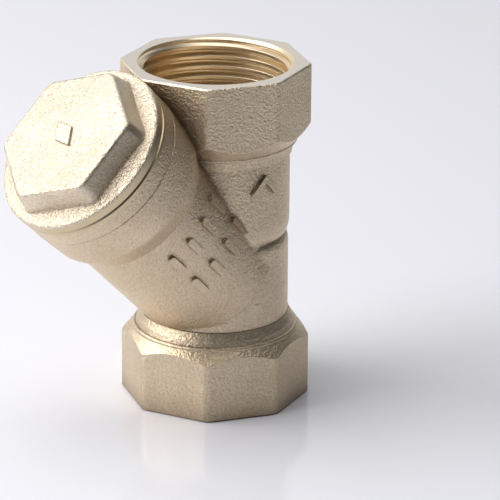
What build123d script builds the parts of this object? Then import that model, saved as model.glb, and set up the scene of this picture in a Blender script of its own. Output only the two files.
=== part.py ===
from build123d import *
import math
import os

# Brass Y strainer for a DN20 pipe, two G 3/4 female ends, millimetres throughout.
# +Z runs up the pipe axis with the flow. The origin is the middle of the lower end face.
# The branch leans towards -X. Its own frame has local x on the side that faces the upper
# end, local y along +Y and local z outward along the branch axis.

# ---------------------------------------------------------------- overall body
BODY_LENGTH = 60.0
END_ACROSS_FLATS = 30.5
END_CORNER_RADIUS = 2.0
END_EDGE_BEVEL = 0.25
END_PRISM_LENGTH = 10.2
BEAD_RADIUS = 0.45
BEAD_STANDOUT = 0.25
LOWER_CONE_LENGTH = 2.3
LOWER_CONE_TOP_RADIUS = 14.15
LOWER_BAND_LENGTH = 2.6
LOWER_BAND_RADII = (13.85, 13.55, 12.85)
UPPER_CONE_LENGTH = 3.2
UPPER_CONE_TOP_RADIUS = 13.8
UPPER_BAND_LENGTH = 2.2
UPPER_BAND_RADII = (13.5, 13.3, 13.15)
NECK_RADIUS_UPPER = 12.8
NECK_RADIUS_LOWER = 12.65

# Ring notch where the upper neck meets the lower one.
NOTCH_HEIGHT = 29.7
NOTCH_RADIUS = 12.0
NOTCH_TOP = 34.0
NOTCH_BOTTOM = 27.6

# ---------------------------------------------------------------- branch
CROSSING_HEIGHT = 21.1
BRANCH_ANGLE = 45.0
BRANCH_START = 1.8
BRANCH_RADIUS = 13.3
BRANCH_EDGE_RADIUS = 0.35
COLLAR_FLARE_START = 25.8
COLLAR_FLARE_END = 28.8
COLLAR_FLARE_RADIUS = 14.5
COLLAR_STEP = 0.22
COLLAR_STEP_WIDTH = 1.0
COLLAR_RADIUS_LOW = 14.95
COLLAR_BAND_START = 36.3
COLLAR_RADIUS = 15.3
COLLAR_LINE_DEPTH = 0.12
COLLAR_END = 39.9
COLLAR_EDGE_BEVEL = 0.25
CROTCH_RADIUS = 1.0

# ---------------------------------------------------------------- G 3/4 pipe thread
PIPE_PITCH = 25.4 / 14
PIPE_DRILL_RADIUS = 12.3
PIPE_ROOT_RADIUS = 13.22
PIPE_ROOT_FLAT = 0.302
PIPE_CREST_FLAT = 0.553
PIPE_MOUTH_RADIUS = 13.4
PORT_DEPTH = 10.4
PIPE_THREAD_DEPTH = 9.0
PIPE_THREAD_LEAD_IN = 1.0

# ---------------------------------------------------------------- waterways
BORE_RADIUS = 10.0
CHAMBER_RADIUS = 9.6
SEAT_HOLE_RADIUS = 7.0
SEAT_RECESS_RADIUS = 8.35
SEAT_WALL_UNDER = -1.2
SEAT_FACE = 0.0
SEAT_WALL_TOP = 1.0

# ---------------------------------------------------------------- M24 x 1.5 cap thread
CAP_PITCH = 1.5
CAP_DRILL_RADIUS = 11.19
CAP_FEMALE_ROOT_RADIUS = 12.05
CAP_FEMALE_ROOT_FLAT = 0.14
CAP_FEMALE_MOUTH_WIDTH = 1.24
CAP_MALE_CREST_RADIUS = 11.78
CAP_MALE_CREST_FLAT = 0.17
CAP_MALE_ROOT_RADIUS = 10.98
CAP_MALE_ROOT_FLAT = 0.42
CAP_RING_RADIUS = 12.8
CAP_RING_FLOOR = 31.1
CAP_THREAD_START = 33.4
CAP_THREAD_END = 38.8
THREAD_OVERCUT = 0.15
THREAD_RUNOUT = 3 * CAP_PITCH

# ---------------------------------------------------------------- gasket
GASKET_INNER_RADIUS = 12.1
GASKET_OUTER_RADIUS = 13.7
GASKET_THICKNESS = 1.4
GASKET_RECESS_RADIUS = 13.85
GASKET_EDGE_RADIUS = 0.2

# ---------------------------------------------------------------- cap
FLANGE_RADIUS = 15.4
FLANGE_THICKNESS = 1.8
FLANGE_EDGE_RADIUS = 0.5
FLANGE_SLOPE_RISE = 0.35
HEX_TOP = 46.4
HEX_ACROSS_FLATS_TOP = 22.7
HEX_ACROSS_FLATS_BASE = 24.5
HEX_CORNER_RADIUS = 2.2
HEX_TOP_EDGE_RADIUS = 0.8
HEX_TURN = -4.8
SPIGOT_END = 34.1
RELIEF_START = 39.1
RELIEF_RADIUS = 10.9
CAP_RECESS_RADIUS = 8.4
CAP_RECESS_TOP = 41.8

# ---------------------------------------------------------------- screen basket
SLEEVE_OUTER_RADIUS = 7.8
SLEEVE_THICKNESS = 0.5
MESH_THICKNESS = 0.25
SCREEN_START = 0.05
SCREEN_END = 41.7
RIM_OUTER_RADIUS = 8.15
RIM_INNER_RADIUS = 6.8
RIM_HEIGHT = 2.4
RIM_FLOOR = 0.35
HOLE_RADIUS = 0.8
HOLE_COLUMNS = 18
HOLE_ROWS = 14
SEAM_WIDTH = 3.0
SEAM_THICKNESS = 0.3
SEAM_END_GAP = 0.3
WELD_SPOT_RADIUS = 0.7
WELD_SPOT_DEPTH = 0.12
WELD_SPOTS = 7
SEAM_DIRECTION = 180.0

# ---------------------------------------------------------------- raised cast marks
MARK_HEIGHT = 0.6
ARROW_TIP_HEIGHT = 42.9
ARROW_DROP = 3.1
ARROW_HALF_WIDTH = 2.9
ARROW_STROKE = 1.0
BAR_ROWS = (20.0, 13.0)
BAR_DIRECTIONS = (-27.0, -9.0, 9.0, 27.0)
BAR_LENGTH = 4.4
BAR_WIDTH = 1.3
BAR_CORNER_RADIUS = 0.55
LOZENGE_LENGTH = 6.4
LOZENGE_WIDTH = 3.6
LOZENGE_HEIGHT = 0.4
LOZENGE_TURN = 60.0

ANGLE = math.radians(BRANCH_ANGLE)
BRANCH_FRAME = Plane(
    origin=(0, 0, CROSSING_HEIGHT),
    x_dir=(math.cos(ANGLE), 0, math.sin(ANGLE)),
    z_dir=(-math.sin(ANGLE), 0, math.cos(ANGLE)),
)
FLIP_TO_UPPER_END = Pos(0, 0, BODY_LENGTH) * Rot(180, 0, 0)
FLANGE_UNDERSIDE = CAP_THREAD_END + GASKET_THICKNESS
FLANGE_TOP = FLANGE_UNDERSIDE + FLANGE_THICKNESS


def turned(points):
    """Solid of revolution about Z from (radius, height) corners."""
    return revolve(Plane.XZ * make_face(Polyline(*points, close=True)), Axis.Z)


def rod(radius, low, high):
    """Plain cylinder about Z between two heights."""
    return Pos(0, 0, low) * Cylinder(radius, high - low, align=(Align.CENTER, Align.CENTER, Align.MIN))


def coil(inner_radius, inner_width, outer_radius, outer_width, pitch, low, high):
    """Right-hand helical ridge with a flat-sided profile."""
    path = Helix(pitch=pitch, height=high - low, radius=inner_radius, center=(0, 0, low))
    corners = (
        (inner_radius, low - inner_width / 2),
        (outer_radius, low - outer_width / 2),
        (outer_radius, low + outer_width / 2),
        (inner_radius, low + inner_width / 2),
    )
    profile = Plane.XZ * make_face(Polyline(*corners, close=True))
    return sweep(profile, path=path, is_frenet=True)


def end_piece(cone_length, cone_top_radius, band_length, band_radii):
    """Octagonal end with its turned cone, bead and tapered band, drawn for the lower end."""
    corner_radius = END_ACROSS_FLATS / 2 / math.cos(math.pi / 8)
    cone_top = END_PRISM_LENGTH + cone_length
    outline = fillet(RegularPolygon(corner_radius, 8).vertices(), END_CORNER_RADIUS)
    prism = extrude(outline, cone_top)
    prism = chamfer(prism.faces().sort_by(Axis.Z)[0].edges(), END_EDGE_BEVEL)
    cone = turned((
        (0, 0),
        (corner_radius, 0),
        (corner_radius, END_PRISM_LENGTH),
        (cone_top_radius, cone_top),
        (0, cone_top),
    ))
    bead = Pos(0, 0, cone_top) * Torus(cone_top_radius + BEAD_STANDOUT - BEAD_RADIUS, BEAD_RADIUS)
    start_radius, middle_radius, end_radius = band_radii
    band = turned((
        (0, END_PRISM_LENGTH),
        (start_radius, END_PRISM_LENGTH),
        (start_radius, cone_top + BEAD_RADIUS),
        (middle_radius, cone_top + band_length / 2),
        (end_radius, cone_top + band_length),
        (0, cone_top + band_length),
    ))
    return (prism & cone) + bead + band


def neck():
    """Round middle of the body with the ring notch between its two halves."""
    lower_end = END_PRISM_LENGTH
    upper_end = BODY_LENGTH - END_PRISM_LENGTH
    upper_curve = Spline(
        (NECK_RADIUS_UPPER, NOTCH_TOP),
        (NOTCH_RADIUS, NOTCH_HEIGHT),
        tangents=((0, -1), (-1, -1)),
    )
    lower_curve = Spline(
        (NOTCH_RADIUS, NOTCH_HEIGHT),
        (NECK_RADIUS_LOWER, NOTCH_BOTTOM),
        tangents=((1, -0.8), (0, -1)),
    )
    rest = Polyline(
        (NECK_RADIUS_LOWER, NOTCH_BOTTOM),
        (NECK_RADIUS_LOWER, lower_end),
        (0, lower_end),
        (0, upper_end),
        (NECK_RADIUS_UPPER, upper_end),
        (NECK_RADIUS_UPPER, NOTCH_TOP),
    )
    return revolve(Plane.XZ * make_face([upper_curve, lower_curve, rest]), Axis.Z)


def branch_outside():
    """Branch tube and its collar, in the branch frame."""
    return turned((
        (0, BRANCH_START),
        (BRANCH_RADIUS - BRANCH_EDGE_RADIUS, BRANCH_START),
        (BRANCH_RADIUS, BRANCH_START + BRANCH_EDGE_RADIUS),
        (BRANCH_RADIUS, COLLAR_FLARE_START),
        (COLLAR_FLARE_RADIUS, COLLAR_FLARE_END),
        (COLLAR_FLARE_RADIUS + COLLAR_STEP, COLLAR_FLARE_END + COLLAR_STEP),
        (COLLAR_RADIUS_LOW, COLLAR_FLARE_END + COLLAR_STEP_WIDTH),
        (COLLAR_RADIUS, COLLAR_BAND_START - COLLAR_LINE_DEPTH),
        (COLLAR_RADIUS - COLLAR_LINE_DEPTH, COLLAR_BAND_START),
        (COLLAR_RADIUS, COLLAR_BAND_START + COLLAR_LINE_DEPTH),
        (COLLAR_RADIUS, COLLAR_END - COLLAR_EDGE_BEVEL),
        (COLLAR_RADIUS - COLLAR_EDGE_BEVEL, COLLAR_END),
        (0, COLLAR_END),
    ))


def round_crotch(shape):
    """Rounds the valley where the neck and the branch tube meet."""
    valley = []
    for edge in shape.edges().filter_by(GeomType.BSPLINE):
        if BRANCH_FRAME.to_local_coords(edge @ 0.5).Z > BRANCH_START + BRANCH_EDGE_RADIUS:
            valley.append(edge)
    return fillet(valley, CROTCH_RADIUS)


def flow_arrow():
    """Raised chevron on the -Y side of the upper neck, pointing with the flow."""
    half_stroke = ARROW_STROKE / math.sqrt(2)
    outline = make_face(Polyline(
        (0, ARROW_TIP_HEIGHT),
        (ARROW_HALF_WIDTH, ARROW_TIP_HEIGHT - ARROW_DROP),
        (ARROW_HALF_WIDTH - half_stroke, ARROW_TIP_HEIGHT - ARROW_DROP - half_stroke),
        (0, ARROW_TIP_HEIGHT - 2 * half_stroke),
        (half_stroke - ARROW_HALF_WIDTH, ARROW_TIP_HEIGHT - ARROW_DROP - half_stroke),
        (-ARROW_HALF_WIDTH, ARROW_TIP_HEIGHT - ARROW_DROP),
        close=True,
    ))
    block = extrude(Plane.XZ * outline, NECK_RADIUS_UPPER + 2 * MARK_HEIGHT)
    return block & rod(NECK_RADIUS_UPPER + MARK_HEIGHT, NOTCH_TOP, BODY_LENGTH - END_PRISM_LENGTH)


def raised_bars():
    """Two rows of plain bars on the -Y side of the branch, in the branch frame."""
    bars = []
    for middle in BAR_ROWS:
        for direction in BAR_DIRECTIONS:
            block = Box(4 * MARK_HEIGHT, BAR_WIDTH, BAR_LENGTH)
            block = fillet(block.edges().filter_by(Axis.X), BAR_CORNER_RADIUS)
            bars.append(Rot(0, 0, direction - 90) * Pos(BRANCH_RADIUS, 0, middle) * block)
    return Part() + bars & rod(BRANCH_RADIUS + MARK_HEIGHT, BRANCH_START, COLLAR_FLARE_START)


def port_hole():
    """Drilled port with its mouth chamfer and the cone down to the waterway, for the lower end."""
    mouth = PIPE_MOUTH_RADIUS - PIPE_DRILL_RADIUS
    cone = PORT_DEPTH + PIPE_DRILL_RADIUS - BORE_RADIUS
    return turned((
        (0, 0),
        (PIPE_MOUTH_RADIUS, 0),
        (PIPE_DRILL_RADIUS, mouth),
        (PIPE_DRILL_RADIUS, PORT_DEPTH),
        (BORE_RADIUS, cone),
        (0, cone),
    ))


def port_thread_groove():
    """Helical groove of the pipe thread, for the lower end."""
    slope = (PIPE_PITCH - PIPE_CREST_FLAT - PIPE_ROOT_FLAT) / (PIPE_ROOT_RADIUS - PIPE_DRILL_RADIUS)
    mouth_width = PIPE_PITCH - PIPE_CREST_FLAT + slope * THREAD_OVERCUT
    return coil(
        PIPE_DRILL_RADIUS - THREAD_OVERCUT, mouth_width,
        PIPE_ROOT_RADIUS, PIPE_ROOT_FLAT,
        PIPE_PITCH, -PIPE_THREAD_LEAD_IN, PIPE_THREAD_DEPTH,
    )


def branch_hole():
    """Screen chamber, seat recess, room for the threaded ring and the gasket recess."""
    return turned((
        (0, SEAT_FACE),
        (SEAT_RECESS_RADIUS, SEAT_FACE),
        (SEAT_RECESS_RADIUS, SEAT_WALL_TOP),
        (CHAMBER_RADIUS, SEAT_WALL_TOP),
        (CHAMBER_RADIUS, CAP_RING_FLOOR),
        (CAP_RING_RADIUS, CAP_RING_FLOOR),
        (CAP_RING_RADIUS, CAP_THREAD_END),
        (GASKET_RECESS_RADIUS, CAP_THREAD_END),
        (GASKET_RECESS_RADIUS, COLLAR_END),
        (0, COLLAR_END),
    ))


def branch_thread():
    """Threaded lining of the branch mouth, fused into the casting."""
    lead_in = CAP_DRILL_RADIUS - CHAMBER_RADIUS
    above = CAP_THREAD_END + THREAD_RUNOUT
    lining = turned((
        (CHAMBER_RADIUS, CAP_RING_FLOOR),
        (CAP_RING_RADIUS, CAP_RING_FLOOR),
        (CAP_RING_RADIUS, above),
        (CAP_DRILL_RADIUS, above),
        (CAP_DRILL_RADIUS, CAP_RING_FLOOR + lead_in),
    ))
    slope = (CAP_FEMALE_MOUTH_WIDTH - CAP_FEMALE_ROOT_FLAT) / (CAP_FEMALE_ROOT_RADIUS - CAP_DRILL_RADIUS)
    lining = lining - coil(
        CAP_DRILL_RADIUS - THREAD_OVERCUT, CAP_FEMALE_MOUTH_WIDTH + slope * THREAD_OVERCUT,
        CAP_FEMALE_ROOT_RADIUS, CAP_FEMALE_ROOT_FLAT,
        CAP_PITCH, CAP_THREAD_START, CAP_THREAD_END + CAP_PITCH,
    )
    return lining & rod(CAP_RING_RADIUS, CAP_RING_FLOOR, CAP_THREAD_END)


def above_seat(low, side):
    """Large block beyond a plane square to the branch axis, in the branch frame."""
    reach = 2 * BODY_LENGTH
    block = Box(reach, reach, reach)
    return BRANCH_FRAME * Pos(side * reach / 2, 0, low + reach / 2) * block


def waterway():
    """Inlet bore up to the seat wall, and outlet bore from the far side of that wall."""
    whole = rod(BORE_RADIUS, PORT_DEPTH, BODY_LENGTH - PORT_DEPTH)
    inlet = whole - above_seat(SEAT_WALL_UNDER, 0)
    outlet = whole & above_seat(SEAT_WALL_TOP, 1)
    seat_hole = BRANCH_FRAME * rod(SEAT_HOLE_RADIUS, SEAT_WALL_UNDER - SEAT_WALL_TOP, SEAT_WALL_TOP)
    return inlet + seat_hole + outlet


def strainer_body():
    """One brass casting: two octagonal ends, the neck and the branch, with its waterways."""
    outside = round_crotch(neck() + BRANCH_FRAME * branch_outside())
    lower_end = end_piece(
        LOWER_CONE_LENGTH, LOWER_CONE_TOP_RADIUS, LOWER_BAND_LENGTH, LOWER_BAND_RADII
    )
    upper_end = end_piece(
        UPPER_CONE_LENGTH, UPPER_CONE_TOP_RADIUS, UPPER_BAND_LENGTH, UPPER_BAND_RADII
    )
    outside = outside + lower_end + FLIP_TO_UPPER_END * upper_end
    outside = outside + flow_arrow() + BRANCH_FRAME * raised_bars()
    body = outside - waterway() - BRANCH_FRAME * branch_hole()
    body = body + BRANCH_FRAME * branch_thread()
    for end in (Pos(0, 0, 0), FLIP_TO_UPPER_END):
        body = body - end * port_hole()
        body = body - end * port_thread_groove()
    return body


def hex_head():
    """Drafted hexagon of the cap, in the branch frame."""
    base = RegularPolygon(HEX_ACROSS_FLATS_BASE / 2, 6, major_radius=False, rotation=HEX_TURN)
    top = RegularPolygon(HEX_ACROSS_FLATS_TOP / 2, 6, major_radius=False, rotation=HEX_TURN)
    base = fillet(base.vertices(), HEX_CORNER_RADIUS)
    top = fillet(top.vertices(), HEX_CORNER_RADIUS)
    head = loft([Pos(0, 0, FLANGE_TOP) * base, Pos(0, 0, HEX_TOP) * top])
    top_edges = head.faces().sort_by(Axis.Z)[-1].edges()
    return fillet(top_edges, HEX_TOP_EDGE_RADIUS)


def lozenge():
    """Plain raised lozenge on the hexagon's end face, in the branch frame."""
    outline = make_face(Polyline(
        (LOZENGE_LENGTH / 2, 0),
        (0, LOZENGE_WIDTH / 2),
        (-LOZENGE_LENGTH / 2, 0),
        (0, -LOZENGE_WIDTH / 2),
        close=True,
    ))
    plate = extrude(outline, 2 * LOZENGE_HEIGHT)
    return Pos(0, 0, HEX_TOP - LOZENGE_HEIGHT) * Rot(0, 0, LOZENGE_TURN) * plate


def flange():
    """Round flange of the cap with its low slope up to the hexagon, in the branch frame."""
    plate = turned((
        (0, FLANGE_UNDERSIDE),
        (FLANGE_RADIUS, FLANGE_UNDERSIDE),
        (FLANGE_RADIUS, FLANGE_TOP),
        (HEX_ACROSS_FLATS_BASE / 2, FLANGE_TOP + FLANGE_SLOPE_RISE),
        (0, FLANGE_TOP + FLANGE_SLOPE_RISE),
    ))
    rims = plate.edges().filter_by(GeomType.CIRCLE).group_by(SortBy.RADIUS)[-1]
    return fillet(rims.sort_by(Axis.Z)[-1], FLANGE_EDGE_RADIUS)


def cap_thread_groove():
    """Helical groove of the cap thread, in the branch frame."""
    depth = CAP_MALE_CREST_RADIUS - CAP_MALE_ROOT_RADIUS
    slope = (CAP_PITCH - CAP_MALE_CREST_FLAT - CAP_MALE_ROOT_FLAT) / depth
    mouth_width = CAP_PITCH - CAP_MALE_CREST_FLAT + slope * THREAD_OVERCUT
    return coil(
        CAP_MALE_ROOT_RADIUS, CAP_MALE_ROOT_FLAT,
        CAP_MALE_CREST_RADIUS + THREAD_OVERCUT, mouth_width,
        CAP_PITCH, CAP_THREAD_START - CAP_PITCH / 2, RELIEF_START + CAP_PITCH / 2,
    )


def spigot():
    """Threaded spigot of the cap: a long grooved bar clipped to the spigot's outline."""
    bar = rod(CAP_MALE_CREST_RADIUS, SPIGOT_END - THREAD_RUNOUT, FLANGE_UNDERSIDE + THREAD_RUNOUT)
    bar = bar - cap_thread_groove()
    wide = CAP_MALE_CREST_RADIUS + THREAD_OVERCUT
    outline = turned((
        (0, SPIGOT_END),
        (CAP_MALE_ROOT_RADIUS, SPIGOT_END),
        (wide, SPIGOT_END + wide - CAP_MALE_ROOT_RADIUS),
        (wide, RELIEF_START - wide + RELIEF_RADIUS),
        (RELIEF_RADIUS, RELIEF_START),
        (RELIEF_RADIUS, FLANGE_UNDERSIDE),
        (0, FLANGE_UNDERSIDE),
    ))
    return bar & outline


def cap():
    """Screwed cap: hexagon, flange, threaded spigot and the recess that holds the screen."""
    recess = rod(CAP_RECESS_RADIUS, SPIGOT_END, CAP_RECESS_TOP)
    return BRANCH_FRAME * (flange() + hex_head() + lozenge() + spigot() - recess)


def cap_gasket():
    """Flat sealing ring that lies in the branch recess and carries the cap flange."""
    ring = rod(GASKET_OUTER_RADIUS, CAP_THREAD_END, FLANGE_UNDERSIDE)
    ring = ring - rod(GASKET_INNER_RADIUS, CAP_THREAD_END, FLANGE_UNDERSIDE)
    return BRANCH_FRAME * fillet(ring.edges().filter_by(GeomType.CIRCLE), GASKET_EDGE_RADIUS)


def tube(outer_radius, inner_radius, low, high):
    """Plain tube about Z between two heights."""
    return rod(outer_radius, low, high) - rod(inner_radius, low, high)


def screen_sleeve():
    """Perforated stainless sheet rolled into a tube, with its lapped and spot-welded seam."""
    low = SCREEN_START + RIM_FLOOR
    high = SCREEN_END - RIM_FLOOR
    sleeve = tube(SLEEVE_OUTER_RADIUS, SLEEVE_OUTER_RADIUS - SLEEVE_THICKNESS, low, high)
    first = SCREEN_START + RIM_HEIGHT + 2 * HOLE_RADIUS
    last = SCREEN_END - RIM_HEIGHT - 2 * HOLE_RADIUS
    row_step = (last - first) / (HOLE_ROWS - 1)
    column_step = 360 / HOLE_COLUMNS
    punches = []
    for row in range(HOLE_ROWS):
        for column in range(1, HOLE_COLUMNS - row % 2):
            turn = SEAM_DIRECTION + (column + (row % 2) / 2) * column_step
            punch = Pos(SLEEVE_OUTER_RADIUS, 0, first + row * row_step) * Rot(0, 90, 0)
            punches.append(Rot(0, 0, turn) * punch * Cylinder(HOLE_RADIUS, 4 * SLEEVE_THICKNESS))
    sleeve = sleeve - punches
    lap_low = SCREEN_START + RIM_HEIGHT + SEAM_END_GAP
    lap_high = SCREEN_END - RIM_HEIGHT - SEAM_END_GAP
    lap_inner = SLEEVE_OUTER_RADIUS - SLEEVE_THICKNESS / 2
    lap = tube(SLEEVE_OUTER_RADIUS + SEAM_THICKNESS, lap_inner, lap_low, lap_high)
    window = Pos(SLEEVE_OUTER_RADIUS, 0, SCREEN_END / 2) * Box(SLEEVE_OUTER_RADIUS, SEAM_WIDTH, SCREEN_END)
    sleeve = sleeve + (lap & Rot(0, 0, SEAM_DIRECTION) * window)
    spot_step = (lap_high - lap_low) / WELD_SPOTS
    spots = []
    for spot in range(WELD_SPOTS):
        dimple = Pos(SLEEVE_OUTER_RADIUS + SEAM_THICKNESS, 0, lap_low + (spot + 0.5) * spot_step)
        disc = Rot(0, 90, 0) * Cylinder(WELD_SPOT_RADIUS, 2 * WELD_SPOT_DEPTH)
        spots.append(Rot(0, 0, SEAM_DIRECTION) * dimple * disc)
    return BRANCH_FRAME * (sleeve - spots)


def screen_mesh():
    """Fine woven liner inside the sleeve, drawn as a plain thin tube."""
    outer = SLEEVE_OUTER_RADIUS - SLEEVE_THICKNESS
    low = SCREEN_START + RIM_FLOOR
    high = SCREEN_END - RIM_FLOOR
    return BRANCH_FRAME * tube(outer, outer - MESH_THICKNESS, low, high)


def pressed_rim():
    """Channel ring pressed over one end of the sleeve and liner, open side up."""
    slot_inner = SLEEVE_OUTER_RADIUS - SLEEVE_THICKNESS - MESH_THICKNESS
    ring = tube(RIM_OUTER_RADIUS, RIM_INNER_RADIUS, 0, RIM_HEIGHT)
    ring = fillet(ring.edges().filter_by(GeomType.CIRCLE).group_by(Axis.Z)[0], RIM_FLOOR / 2)
    return ring - tube(SLEEVE_OUTER_RADIUS, slot_inner, RIM_FLOOR, RIM_HEIGHT)


def screen_seat_rim():
    """Rim at the inner end, seated in the body."""
    return BRANCH_FRAME * Pos(0, 0, SCREEN_START) * pressed_rim()


def screen_cap_rim():
    """Rim at the outer end, held in the cap recess."""
    return BRANCH_FRAME * Pos(0, 0, SCREEN_END) * Rot(180, 0, 0) * pressed_rim()


PIECES = {
    "strainer_body": strainer_body,
    "cap": cap,
    "cap_gasket": cap_gasket,
    "screen_sleeve": screen_sleeve,
    "screen_mesh": screen_mesh,
    "screen_seat_rim": screen_seat_rim,
    "screen_cap_rim": screen_cap_rim,
}

os.makedirs("parts", exist_ok=True)
for name, make in PIECES.items():
    piece = make()
    print(name, "solids", len(piece.solids()), "volume", round(piece.volume, 1), "valid", piece.is_valid)
    export_step(piece, f"parts/{name}.step")
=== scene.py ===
import bpy
import math
from mathutils import Matrix, Vector

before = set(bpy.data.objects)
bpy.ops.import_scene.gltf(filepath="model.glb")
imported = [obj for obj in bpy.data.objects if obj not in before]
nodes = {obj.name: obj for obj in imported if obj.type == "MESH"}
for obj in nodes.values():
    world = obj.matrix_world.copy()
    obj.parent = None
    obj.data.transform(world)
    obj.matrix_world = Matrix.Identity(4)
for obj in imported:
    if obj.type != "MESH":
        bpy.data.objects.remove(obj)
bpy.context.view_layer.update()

# ------------------------------------------------------------------ driving dimensions, in metres
BODY_LENGTH = 0.060
CROSSING_HEIGHT = 0.0211
PORT_DEPTH = 0.0126
PORT_WALL_RADIUS = 0.01345
MOUTH_START = 0.0295
MOUTH_RADIUS = 0.01395
COLLAR_END = 0.0399
COLLAR_RIM_WIDTH = 0.0008
COLLAR_RIM_INNER = 0.0138
FLANGE_UNDERSIDE = 0.0402
FLANGE_RIM_TOP = 0.0415
FLANGE_RIM_INNER = 0.01515
SEAM_INNER = 0.0136
HEX_FOOT = 0.0428
HEX_TOP = 0.0464

# Sine and cosine of the branch's 45 degree lean.
HALF_ROOT = math.sqrt(0.5)

# How thin the coloured skins are, and over what length the masks fade.
FACE_SKIN = 0.00012
FACE_FADE = 0.00008
SEAM_SKIN = 0.00006
SEAM_FADE = 0.00004
FINE_FADE = 0.00005
RIM_FADE = 0.0001
FADE = 0.0002
MOUTH_FADE = 0.0005

# Rays that the rounded edges and the crevice shade each take.
SHADER_RAYS = 6

# ------------------------------------------------------------------ brass
BODY_TONES = ((0.630, 0.508, 0.350, 1.0), (0.790, 0.662, 0.488, 1.0))
CAP_TONES = ((0.570, 0.480, 0.360, 1.0), (0.765, 0.675, 0.540, 1.0))
# Painted shade: a dark brown that the ambient occlusion mixes into crevices, corners and between parts.
CREVICE_PAINTED_SHADE = (0.150, 0.095, 0.050, 1.0)
# Painted shade on the sealing faces where the collar end and the cap flange meet, in place of the dark gap
# between them.
SEAM_SHADE = (0.150, 0.095, 0.050, 1.0)
MACHINED_FACE = (0.780, 0.710, 0.620, 1.0)
THREAD_GOLD = (0.850, 0.710, 0.510, 1.0)
TURNED_EDGE = (0.640, 0.530, 0.350, 1.0)

BLOTCH_SCALE = 110.0
BLOTCH_SHARE = 0.35
SPECKLE_SCALE = 2600.0
SPECKLE_CONTRAST = 0.6
SPECKLE_SHARE = 0.65
TONE_RANGE = (0.30, 0.66)
CREVICE_REACH = 0.007
OPEN_AIR_RANGE = (0.15, 0.88)

CAST_ROUGHNESS = 0.36
ROUGHNESS_SPREAD = 0.14
ROUGHNESS_SCALE = 900.0
MACHINED_ROUGHNESS = 0.33

GRAIN_SCALE = 2500.0
GRAIN_DETAIL = 2.5
GRAIN_CONTRAST = 0.6
GRAIN_SHARE = 0.75
PEEL_SCALE = 1300.0
PEEL_DETAIL = 1.0
PEEL_SHARE = 0.35
GRAIN_HEIGHT = 0.00032
BODY_GRAIN_LOW = 0.70
BODY_GRAIN_HIGH = 1.0
BODY_GRAIN_RISE = (0.034, 0.046)
CAP_GRAIN = 1.3
HEX_SIDE_GRAIN = 0.4

BODY_EDGE_RADIUS = 0.00015
CAP_EDGE_RADIUS = 0.00050
MACHINED_EDGE_RADIUS = 0.00010
TURNING_PITCH = 0.00022
TURNING_STRENGTH = 0.10
TURNING_HEIGHT = 0.00002

# ------------------------------------------------------------------ screen and gasket
PTFE_WHITE = (0.72, 0.72, 0.69, 1.0)
SHEET_STEEL = (0.60, 0.60, 0.58, 1.0)
RIM_STEEL = (0.66, 0.66, 0.64, 1.0)
DARK_SHARE = 0.8
FINE_GRAIN_DETAIL = 3.0
FINE_GRAIN_HEIGHT = 0.0001

WARP_WIRES = 90.0
WEFT_PITCH = 0.0005
WIRE_RANGE = (0.0, 0.9)
WIRE_GAP_PAINTED_SHADE = (0.03, 0.03, 0.03, 1.0)
WIRE_STEEL = (0.62, 0.62, 0.60, 1.0)
WIRE_ROUGHNESS = 0.35
WIRE_STRENGTH = 0.7
WIRE_HEIGHT = 0.0001

# ------------------------------------------------------------------ floor, camera and studio
FLOOR_SIZE = 6.0
FLOOR_COLOUR = (0.745, 0.745, 0.79, 1.0)
FLOOR_ROUGHNESS = 0.14
FLOOR_SPECULAR = 0.35

AZIMUTH = math.radians(-40.96)
ELEVATION = math.radians(20.46)
ROLL = math.radians(0.40)
FOCAL_PIXELS = 3688.4
FRAME_PIXELS = 500.0
SENSOR_MM = 36.0
CAMERA_DISTANCE = 0.6374
CLIP_NEAR = 0.01
CLIP_FAR = 20.0
AIM = Vector((0.0, 0.0, BODY_LENGTH / 2))
AIM_RIGHT = -0.00602
AIM_UP = 0.00410

STUDIO_TINT = (0.86, 0.87, 0.92, 1.0)
STUDIO_STRENGTH = 0.09


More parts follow.
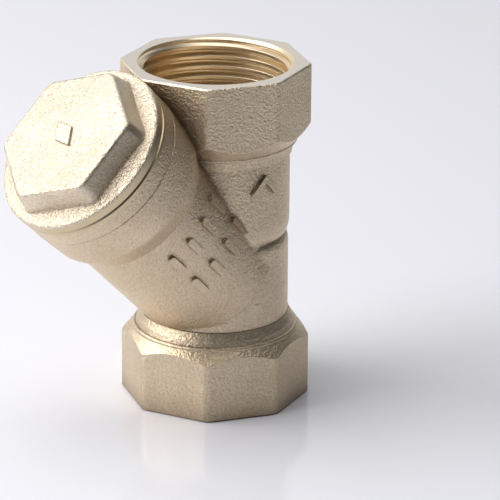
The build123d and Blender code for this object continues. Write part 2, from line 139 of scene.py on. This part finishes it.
class Graph:
    """Small helper that adds and links the shader nodes of one material."""

    def __init__(self, name):
        self.material = bpy.data.materials.new(name)
        self.material.use_nodes = True
        self.tree = self.material.node_tree
        self.tree.nodes.clear()
        self.output = self.add("ShaderNodeOutputMaterial")
        self.shader = self.add("ShaderNodeBsdfPrincipled")
        self.link(self.shader.outputs["BSDF"], self.output.inputs["Surface"])
        self.place = self.add("ShaderNodeTexCoord").outputs["Object"]

    def add(self, kind, **settings):
        node = self.tree.nodes.new(kind)
        for key, value in settings.items():
            setattr(node, key, value)
        return node

    def link(self, source, target):
        self.tree.links.new(source, target)

    def feed(self, socket, value):
        """Link a socket to another node's output, or set it to a plain value."""
        if hasattr(value, "is_output"):
            self.link(value, socket)
        else:
            socket.default_value = value

    def math(self, operation, first, second=0.0):
        node = self.add("ShaderNodeMath", operation=operation)
        self.feed(node.inputs[0], first)
        self.feed(node.inputs[1], second)
        return node.outputs[0]

    def ramp(self, value, low, high):
        """Goes smoothly from 0 at low to 1 at high. Low may be the larger of the two."""
        node = self.add("ShaderNodeMapRange", interpolation_type="SMOOTHSTEP")
        self.feed(node.inputs["Value"], value)
        start, end = sorted((low, high))
        node.inputs["From Min"].default_value = start
        node.inputs["From Max"].default_value = end
        node.inputs["To Min"].default_value = 0.0 if low < high else 1.0
        node.inputs["To Max"].default_value = 1.0 if low < high else 0.0
        return node.outputs["Result"]

    def mix(self, factor, first, second, data_type="RGBA"):
        node = self.add("ShaderNodeMix", data_type=data_type)
        self.feed(node.inputs["Factor"], factor)
        self.feed(node.inputs["A"], first)
        self.feed(node.inputs["B"], second)
        return node.outputs["Result"]

    def noise(self, scale, detail=2.0, contrast=0.5):
        node = self.add("ShaderNodeTexNoise")
        self.link(self.place, node.inputs["Vector"])
        node.inputs["Scale"].default_value = scale
        node.inputs["Detail"].default_value = detail
        node.inputs["Roughness"].default_value = contrast
        return node.outputs["Fac"]

    def blend(self, first, first_share, second, second_share):
        """Two values added in the given shares."""
        return self.math(
            "ADD",
            self.math("MULTIPLY", first, first_share),
            self.math("MULTIPLY", second, second_share),
        )

    def length(self, first, second):
        """Length of the vector with these two components."""
        squares = self.blend(first, first, second, second)
        return self.math("SQRT", squares)

    def bump(self, height, strength, distance, normal=None):
        node = self.add("ShaderNodeBump")
        self.feed(node.inputs["Height"], height)
        self.feed(node.inputs["Strength"], strength)
        node.inputs["Distance"].default_value = distance
        if normal is not None:
            self.link(normal, node.inputs["Normal"])
        return node.outputs["Normal"]

    def rounded_edges(self, radius):
        node = self.add("ShaderNodeBevel", samples=SHADER_RAYS)
        node.inputs["Radius"].default_value = radius
        return node.outputs["Normal"]

    def axes(self):
        """Object X, Y and Z, then the distance along the branch axis and to its upper side."""
        split = self.add("ShaderNodeSeparateXYZ")
        self.link(self.place, split.inputs[0])
        x, y, z = split.outputs
        lifted = self.math("SUBTRACT", z, CROSSING_HEIGHT)
        along = self.math("MULTIPLY", self.math("SUBTRACT", lifted, x), HALF_ROOT)
        side = self.math("MULTIPLY", self.math("ADD", lifted, x), HALF_ROOT)
        return x, y, z, along, side


# ------------------------------------------------------------------ materials
def brass(name, masks, tones, edge_radius):
    """Blasted cast brass, with the machined areas, turned rim and painted seam shade that masks gives."""
    g = Graph(name)
    x, y, z, along, side = g.axes()
    radius = g.length(x, y)
    face, thread, rim, seam, grain_left = masks(g, z, radius, along, g.length(side, y))
    machined = g.math("MAXIMUM", g.math("MAXIMUM", face, thread), rim)

    speckle = g.noise(SPECKLE_SCALE, contrast=SPECKLE_CONTRAST)
    tone = g.blend(g.noise(BLOTCH_SCALE), BLOTCH_SHARE, speckle, SPECKLE_SHARE)
    colour = g.mix(g.ramp(tone, *TONE_RANGE), *tones)
    # Painted shade: the ambient occlusion darkens the colour in crevices, corners and between parts, where
    # shade falls.
    occlusion = g.add("ShaderNodeAmbientOcclusion", samples=SHADER_RAYS)
    occlusion.inputs["Distance"].default_value = CREVICE_REACH
    open_air = g.ramp(occlusion.outputs["AO"], *OPEN_AIR_RANGE)
    colour = g.mix(open_air, CREVICE_PAINTED_SHADE, colour)
    for mask, paint in ((face, MACHINED_FACE), (thread, THREAD_GOLD), (rim, TURNED_EDGE), (seam, SEAM_SHADE)):
        colour = g.mix(mask, colour, paint)
    g.link(colour, g.shader.inputs["Base Color"])
    g.shader.inputs["Metallic"].default_value = 1.0

    uneven = g.math("MULTIPLY", g.noise(ROUGHNESS_SCALE), ROUGHNESS_SPREAD)
    cast_roughness = g.math("ADD", CAST_ROUGHNESS, uneven)
    roughness = g.mix(machined, cast_roughness, MACHINED_ROUGHNESS, "FLOAT")
    g.link(roughness, g.shader.inputs["Roughness"])

    grain = g.noise(GRAIN_SCALE, GRAIN_DETAIL, GRAIN_CONTRAST)
    height = g.blend(grain, GRAIN_SHARE, g.noise(PEEL_SCALE, PEEL_DETAIL), PEEL_SHARE)
    keep = g.math("MULTIPLY", g.math("SUBTRACT", 1.0, machined), grain_left)
    cast_edges = g.rounded_edges(edge_radius)
    edges = g.mix(machined, cast_edges, g.rounded_edges(MACHINED_EDGE_RADIUS), "VECTOR")
    normal = g.bump(height, keep, GRAIN_HEIGHT, edges)

    turning = g.math("SINE", g.math("MULTIPLY", radius, 2 * math.pi / TURNING_PITCH))
    normal = g.bump(turning, g.math("MULTIPLY", face, TURNING_STRENGTH), TURNING_HEIGHT, normal)
    g.link(normal, g.shader.inputs["Normal"])
    return g.material


def body_masks(g, z, radius, along, branch_radius):
    """End faces, threads of both ports and the branch mouth, collar rim, painted shade on the seam face and
    grain strength.
    """
    top_skin = BODY_LENGTH - FACE_SKIN
    top_face = g.ramp(z, top_skin, top_skin + FACE_FADE)
    bottom_face = g.ramp(z, FACE_SKIN, FACE_SKIN - FACE_FADE)
    face = g.math("MAXIMUM", top_face, bottom_face)

    inside = g.ramp(radius, PORT_WALL_RADIUS + FINE_FADE, PORT_WALL_RADIUS)
    upper = g.ramp(z, BODY_LENGTH - PORT_DEPTH - FADE, BODY_LENGTH - PORT_DEPTH)
    lower = g.ramp(z, PORT_DEPTH + FADE, PORT_DEPTH)
    ports = g.math("MULTIPLY", inside, g.math("MAXIMUM", upper, lower))
    in_mouth = g.ramp(branch_radius, MOUTH_RADIUS + FINE_FADE, MOUTH_RADIUS)
    mouth = g.math("MULTIPLY", in_mouth, g.ramp(along, MOUTH_START, MOUTH_START + MOUTH_FADE))

    rim_start = COLLAR_END - COLLAR_RIM_WIDTH
    near_end = g.ramp(along, rim_start, rim_start + RIM_FADE)
    rim = g.math("MULTIPLY", near_end, g.ramp(branch_radius, COLLAR_RIM_INNER, COLLAR_RIM_INNER + RIM_FADE))
    # The collar's sealing face gets painted seam shade.
    seam_start = COLLAR_END - SEAM_SKIN
    end_skin = g.ramp(along, seam_start, seam_start + SEAM_FADE)
    seam = g.math("MULTIPLY", end_skin, g.ramp(branch_radius, SEAM_INNER, SEAM_INNER + RIM_FADE))

    rise = g.math("MULTIPLY", g.ramp(z, *BODY_GRAIN_RISE), BODY_GRAIN_HIGH - BODY_GRAIN_LOW)
    return face, g.math("MAXIMUM", ports, mouth), rim, seam, g.math("ADD", BODY_GRAIN_LOW, rise)


def cap_masks(g, z, radius, along, branch_radius):
    """Underside and spigot, flange rim, painted shade on the seam face and grain strength, which is less on
    the hexagon's sides.
    """
    under = g.ramp(along, FLANGE_UNDERSIDE + FINE_FADE, FLANGE_UNDERSIDE)
    below_top = g.ramp(along, FLANGE_RIM_TOP + RIM_FADE, FLANGE_RIM_TOP)
    rim = g.math("MULTIPLY", below_top, g.ramp(branch_radius, FLANGE_RIM_INNER, FLANGE_RIM_INNER + RIM_FADE))
    # The flange underside gets painted seam shade.
    seam_top = FLANGE_UNDERSIDE + SEAM_SKIN
    skin = g.ramp(along, seam_top, seam_top - SEAM_FADE)
    seam = g.math("MULTIPLY", skin, g.ramp(branch_radius, SEAM_INNER, SEAM_INNER + RIM_FADE))

    above_foot = g.ramp(along, HEX_FOOT, HEX_FOOT + FADE)
    sides = g.math("MULTIPLY", above_foot, g.ramp(along, HEX_TOP, HEX_TOP - FADE))
    less = g.math("MULTIPLY", sides, CAP_GRAIN - HEX_SIDE_GRAIN)
    return under, under, rim, seam, g.math("SUBTRACT", CAP_GRAIN, less)


def plain(name, colour, metallic, roughness, grain_scale, grain):
    """A single colour, slightly darker in places, with a fine grain."""
    g = Graph(name)
    noise = g.noise(grain_scale, FINE_GRAIN_DETAIL)
    darker = tuple(DARK_SHARE * c for c in colour[:3]) + (1.0,)
    g.link(g.mix(noise, darker, colour), g.shader.inputs["Base Color"])
    g.shader.inputs["Metallic"].default_value = metallic
    g.shader.inputs["Roughness"].default_value = roughness
    g.link(g.bump(noise, grain, FINE_GRAIN_HEIGHT), g.shader.inputs["Normal"])
    return g.material


def woven():
    """Fine stainless weave of crossing wires about the branch axis, with painted shade in the openings."""
    g = Graph("stainless_weave")
    x, y, z, along, side = g.axes()
    warp = g.math("SINE", g.math("MULTIPLY", g.math("ARCTAN2", y, side), WARP_WIRES))
    weft = g.math("SINE", g.math("MULTIPLY", along, 2 * math.pi / WEFT_PITCH))
    wires = g.math("MAXIMUM", warp, weft)
    # The gaps between the wires are painted near-black: painted shade in place of the openings of the weave.
    g.link(g.mix(g.ramp(wires, *WIRE_RANGE), WIRE_GAP_PAINTED_SHADE, WIRE_STEEL), g.shader.inputs["Base Color"])
    g.shader.inputs["Metallic"].default_value = 1.0
    g.shader.inputs["Roughness"].default_value = WIRE_ROUGHNESS
    g.link(g.bump(wires, WIRE_STRENGTH, WIRE_HEIGHT), g.shader.inputs["Normal"])
    return g.material


def dress(name, material):
    """The CAD node shows this material."""
    mesh = nodes[name].data
    mesh.materials.clear()
    mesh.materials.append(material)


dress("strainer_body", brass("brass_body", body_masks, BODY_TONES, BODY_EDGE_RADIUS))
dress("cap", brass("brass_cap", cap_masks, CAP_TONES, CAP_EDGE_RADIUS))
gasket = plain("gasket_white", PTFE_WHITE, metallic=0.0, roughness=0.5, grain_scale=800.0, grain=0.1)
dress("cap_gasket", gasket)
sheet = plain("stainless_sheet", SHEET_STEEL, metallic=1.0, roughness=0.28, grain_scale=1800.0, grain=0.15)
dress("screen_sleeve", sheet)
dress("screen_mesh", woven())
rim = plain("stainless_rim", RIM_STEEL, metallic=1.0, roughness=0.2, grain_scale=1200.0, grain=0.05)
dress("screen_seat_rim", rim)
dress("screen_cap_rim", rim)


# ------------------------------------------------------------------ floor
bpy.ops.mesh.primitive_plane_add(size=FLOOR_SIZE, location=(0.0, 0.0, 0.0))
floor = bpy.context.object
floor.name = "floor"
paper = Graph("floor_gloss")
paper.shader.inputs["Base Color"].default_value = FLOOR_COLOUR
paper.shader.inputs["Roughness"].default_value = FLOOR_ROUGHNESS
paper.shader.inputs["Specular IOR Level"].default_value = FLOOR_SPECULAR
floor.data.materials.append(paper.material)


# ------------------------------------------------------------------ camera
back = Vector((
    math.sin(AZIMUTH) * math.cos(ELEVATION),
    -math.cos(AZIMUTH) * math.cos(ELEVATION),
    math.sin(ELEVATION),
))
level_right = Vector((math.cos(AZIMUTH), math.sin(AZIMUTH), 0.0))
level_up = back.cross(level_right)
right = level_right * math.cos(ROLL) + level_up * math.sin(ROLL)
up = level_up * math.cos(ROLL) - level_right * math.sin(ROLL)
camera_data = bpy.data.cameras.new("camera")
camera_data.sensor_width = SENSOR_MM
camera_data.lens = FOCAL_PIXELS * SENSOR_MM / FRAME_PIXELS
camera_data.clip_start = CLIP_NEAR
camera_data.clip_end = CLIP_FAR
camera = bpy.data.objects.new("camera", camera_data)
turn = Matrix((right, up, back)).transposed().to_4x4()
place = AIM - right * AIM_RIGHT - up * AIM_UP + back * CAMERA_DISTANCE
camera.matrix_world = Matrix.Translation(place) @ turn
bpy.context.scene.collection.objects.link(camera)
bpy.context.scene.camera = camera


# ------------------------------------------------------------------ light
def softbox(name, around, elevation, distance, width, height, power):
    """Area light aimed at the object, around degrees from the camera's left towards the camera."""
    data = bpy.data.lights.new(name, "AREA")
    data.shape = "RECTANGLE"
    data.size = width
    data.size_y = height
    data.energy = power
    lamp = bpy.data.objects.new(name, data)
    towards = Vector((back.x, back.y, 0.0)).normalized()
    turn_round = math.radians(around)
    lift = math.radians(elevation)
    flat = -level_right * math.cos(turn_round) + towards * math.sin(turn_round)
    spot = AIM + (flat * math.cos(lift) + Vector((0.0, 0.0, math.sin(lift)))) * distance
    aim = (AIM - spot).to_track_quat("-Z", "Y").to_matrix().to_4x4()
    lamp.matrix_world = Matrix.Translation(spot) @ aim
    bpy.context.scene.collection.objects.link(lamp)


softbox("key", around=10.0, elevation=38.0, distance=0.60, width=0.55, height=0.50, power=4.75)
softbox("back_panel", around=-75.0, elevation=25.0, distance=1.00, width=2.2, height=0.9, power=4.5)
softbox("overhead", around=0.0, elevation=88.0, distance=0.80, width=0.6, height=0.6, power=2.9)

world = bpy.data.worlds.new("studio")
bpy.context.scene.world = world
world.use_nodes = True
background = world.node_tree.nodes["Background"]
background.inputs["Color"].default_value = STUDIO_TINT
background.inputs["Strength"].default_value = STUDIO_STRENGTH
bpy.context.scene.view_settings.view_transform = "Standard"
bpy.context.scene.view_settings.look = "None"
bpy.context.scene.view_settings.exposure = 0.0
